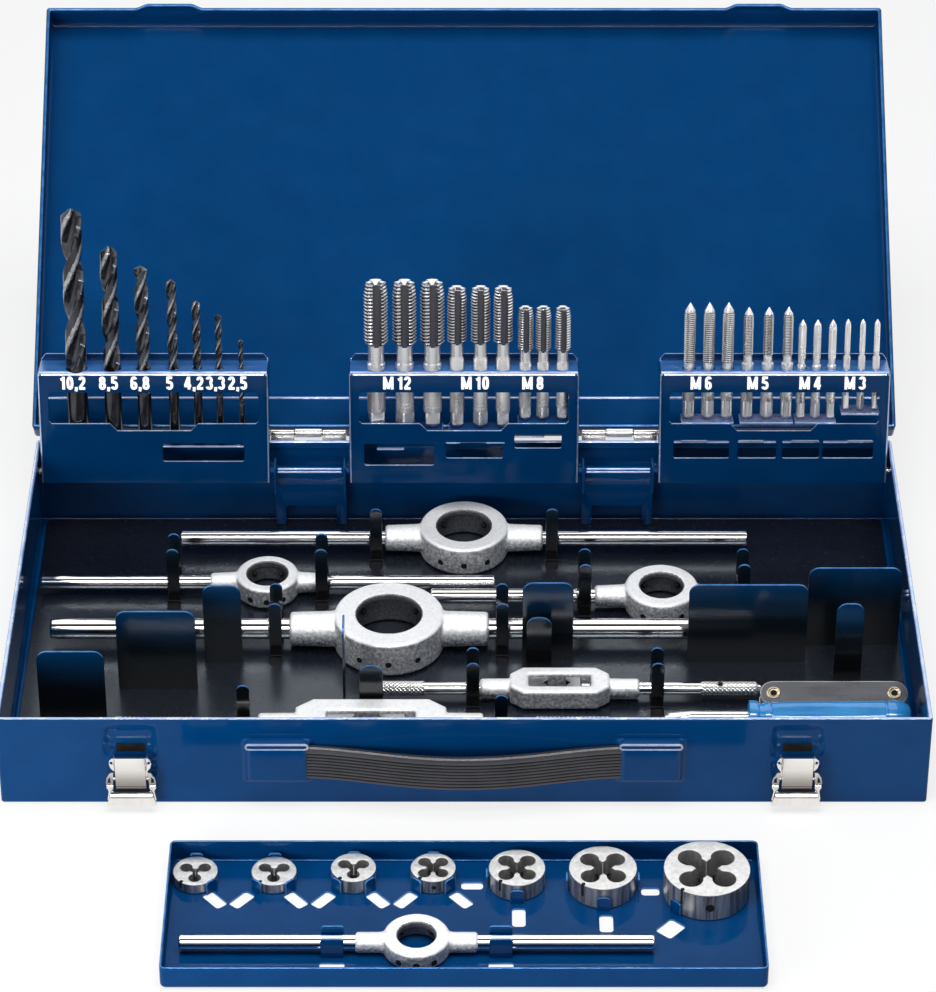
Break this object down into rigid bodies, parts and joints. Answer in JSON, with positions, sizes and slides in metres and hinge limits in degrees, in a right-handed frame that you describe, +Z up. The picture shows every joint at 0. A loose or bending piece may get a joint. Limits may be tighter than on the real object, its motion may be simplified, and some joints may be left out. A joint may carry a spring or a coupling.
{
  "type": "tap and die storage drawer",
  "caption": "Hinged sheet steel tool case with fold-up tap and drill racks, die stocks, tap wrenches, draw latches, a strap handle and a lift-out die tray.",
  "frame": {"origin": "middle of the case's underside, on the surface that it stands on", "axes": "+X to the right along the case's width, -Y to the front with the latches and handle, +Z up out of the underside"},
  "size_m": [0.425, 0.5475, 0.1886],
  "materials": {
    "blue_paint": "gloss",
    "black_floor": "satin",
    "nickel": "nickel plated",
    "strap_rubber": "ribbed",
    "black_oxide_steel": "black oxide",
    "bright_steel": "ground",
    "cast_metal": "bright cast",
    "gauge_black": "black lacquer",
    "blue_plastic": "clear tinted"
  },
  "bodies": {
    "case": {"base_pan": "blue_paint", "floor_inlay": "black_floor", "hinge_left_base_leaf": "nickel", "hinge_left_pin": "nickel", "hinge_right_base_leaf": "nickel", "hinge_right_pin": "nickel", "latch_left_base": "nickel", "latch_right_base": "nickel", "rack_bracket_left": "blue_paint", "rack_bracket_right": "blue_paint", "rack_outer_pin_left": "nickel", "rack_outer_pin_right": "nickel"},
    "lid": {"lid_shell": "blue_paint", "hinge_left_lid_leaf": "nickel", "hinge_right_lid_leaf": "nickel"},
    "drill_rack": {"rack_drills": "blue_paint", "drill_10_2": "black_oxide_steel", "drill_8_5": "black_oxide_steel", "drill_6_8": "black_oxide_steel", "drill_5_0": "black_oxide_steel", "drill_4_2": "black_oxide_steel", "drill_3_3": "black_oxide_steel", "drill_2_5": "black_oxide_steel"},
    "large_tap_rack": {"rack_taps_large": "blue_paint", "taps_m12": "bright_steel", "taps_m10": "bright_steel", "taps_m8": "bright_steel"},
    "small_tap_rack": {"rack_taps_small": "blue_paint", "taps_m6": "bright_steel", "taps_m5": "bright_steel", "taps_m4": "bright_steel", "taps_m3": "bright_steel"},
    "left_latch_plate": {"latch_left_plate": "nickel"},
    "right_latch_plate": {"latch_right_plate": "nickel"},
    "left_latch_lever": {"latch_left_lever": "nickel"},
    "right_latch_lever": {"latch_right_lever": "nickel"},
    "strap": {"handle_strap": "strap_rubber"},
    "rear_stock": {"stock_rear": "cast_metal"},
    "left_stock": {"stock_left": "cast_metal"},
    "right_stock": {"stock_right": "cast_metal"},
    "middle_stock": {"stock_middle": "cast_metal"},
    "small_wrench": {"wrench_small_body": "cast_metal"},
    "small_wrench_jaw": {"wrench_small_jaw": "bright_steel"},
    "small_wrench_handle": {"wrench_small_handle": "bright_steel"},
    "large_wrench": {"wrench_large_body": "cast_metal"},
    "large_wrench_jaw": {"wrench_large_jaw": "bright_steel"},
    "large_wrench_handle": {"wrench_large_handle": "bright_steel"},
    "gauge": {"gauge_case": "gauge_black"},
    "gauge_leaf_pack": {"gauge_leaves": "bright_steel"},
    "screwdriver": {"screwdriver_handle": "blue_plastic", "screwdriver_blade": "bright_steel"},
    "tray": {"die_tray": "blue_paint", "die_m3": "bright_steel", "die_m4": "bright_steel", "die_m5": "bright_steel", "die_m6": "bright_steel", "die_m8": "bright_steel", "die_m10": "bright_steel", "die_m12": "bright_steel"},
    "tray_stock": {"stock_tray": "cast_metal"}
  },
  "joints": [
    {"name": "lid_hinge", "type": "hinge", "parent": "case", "child": "lid", "pos_m": [0, 0.1148, 0.05], "axis": [-1, 0, 0], "range_deg": [-144, 0]},
    {"name": "drill_rack_fold", "type": "hinge", "parent": "case", "child": "drill_rack", "pos_m": [-0.151, 0.0995, 0.038], "axis": [-1, 0, 0], "range_deg": [-102, 0]},
    {"name": "large_tap_rack_fold", "type": "hinge", "parent": "case", "child": "large_tap_rack", "pos_m": [0, 0.0995, 0.038], "axis": [-1, 0, 0], "range_deg": [-102, 0]},
    {"name": "small_tap_rack_fold", "type": "hinge", "parent": "case", "child": "small_tap_rack", "pos_m": [0.151, 0.0995, 0.038], "axis": [-1, 0, 0], "range_deg": [-102, 0]},
    {"name": "left_latch_plate_swing", "type": "hinge", "parent": "case", "child": "left_latch_plate", "pos_m": [-0.15, -0.11675, 0.0275], "axis": [-1, 0, 0], "range_deg": [0, 175]},
    {"name": "left_latch_lever_swing", "type": "hinge", "parent": "left_latch_plate", "child": "left_latch_lever", "pos_m": [-0.15, -0.11675, 0.0135], "axis": [1, 0, 0], "range_deg": [-70, 0]},
    {"name": "right_latch_plate_swing", "type": "hinge", "parent": "case", "child": "right_latch_plate", "pos_m": [0.15, -0.11675, 0.0275], "axis": [-1, 0, 0], "range_deg": [0, 175]},
    {"name": "right_latch_lever_swing", "type": "hinge", "parent": "right_latch_plate", "child": "right_latch_lever", "pos_m": [0.15, -0.11675, 0.0135], "axis": [1, 0, 0], "range_deg": [-70, 0]},
    {"name": "strap_slide", "type": "slide", "parent": "case", "child": "strap", "axis": [1, 0, 0], "range_m": [-0.002, 0.002]},
    {"name": "rear_stock_lift", "type": "slide", "parent": "case", "child": "rear_stock", "axis": [0, 0, 1], "range_m": [0, 0.012]},
    {"name": "left_stock_lift", "type": "slide", "parent": "case", "child": "left_stock", "axis": [0, 0, 1], "range_m": [0, 0.06]},
    {"name": "right_stock_lift", "type": "slide", "parent": "case", "child": "right_stock", "axis": [0, 0, 1], "range_m": [0, 0.06]},
    {"name": "middle_stock_lift", "type": "slide", "parent": "case", "child": "middle_stock", "axis": [0, 0, 1], "range_m": [0, 0.06]},
    {"name": "small_wrench_lift", "type": "slide", "parent": "case", "child": "small_wrench", "axis": [0, 0, 1], "range_m": [0, 0.06]},
    {"name": "small_wrench_jaw_slide", "type": "slide", "parent": "small_wrench", "child": "small_wrench_jaw", "axis": [1, 0, 0], "range_m": [-0.005, 0]},
    {"name": "small_wrench_handle_turn", "type": "hinge", "parent": "small_wrench_jaw", "child": "small_wrench_handle", "pos_m": [0.1047, -0.037, 0.0081], "axis": [1, 0, 0], "range_deg": [-1200, 0]},
    {"name": "large_wrench_lift", "type": "slide", "parent": "case", "child": "large_wrench", "axis": [0, 0, 1], "range_m": [0, 0.06]},
    {"name": "large_wrench_jaw_slide", "type": "slide", "parent": "large_wrench", "child": "large_wrench_jaw", "axis": [1, 0, 0], "range_m": [-0.007, 0]},
    {"name": "large_wrench_handle_turn", "type": "hinge", "parent": "large_wrench_jaw", "child": "large_wrench_handle", "pos_m": [0.017, -0.067, 0.0091], "axis": [1, 0, 0], "range_deg": [-1260, 0]},
    {"name": "gauge_lift", "type": "slide", "parent": "case", "child": "gauge", "axis": [0, 0, 1], "range_m": [0, 0.06]},
    {"name": "gauge_leaf_swing", "type": "hinge", "parent": "gauge", "child": "gauge_leaf_pack", "pos_m": [0.1445, -0.04551, 0.00921], "axis": [0, -0.4226, 0.9063], "range_deg": [0, 15]},
    {"name": "screwdriver_lift", "type": "slide", "parent": "case", "child": "screwdriver", "axis": [0, 0, 1], "range_m": [0, 0.06]},
    {"name": "tray_lift", "type": "slide", "parent": "case", "child": "tray", "axis": [0, 0, 1], "range_m": [0, 0.06]},
    {"name": "tray_stock_lift", "type": "slide", "parent": "tray", "child": "tray_stock", "axis": [0, 0, 1], "range_m": [0, 0.06]}
  ],
  "couplings": [
    {"joint": "drill_rack_fold", "follows": "lid_hinge", "ratio": 0.70833},
    {"joint": "large_tap_rack_fold", "follows": "lid_hinge", "ratio": 0.70833},
    {"joint": "small_tap_rack_fold", "follows": "lid_hinge", "ratio": 0.70833},
    {"joint": "small_wrench_handle_turn", "follows": "small_wrench_jaw_slide", "rad_per_m": 4188.8},
    {"joint": "large_wrench_handle_turn", "follows": "large_wrench_jaw_slide", "rad_per_m": 3141.6}
  ]
}
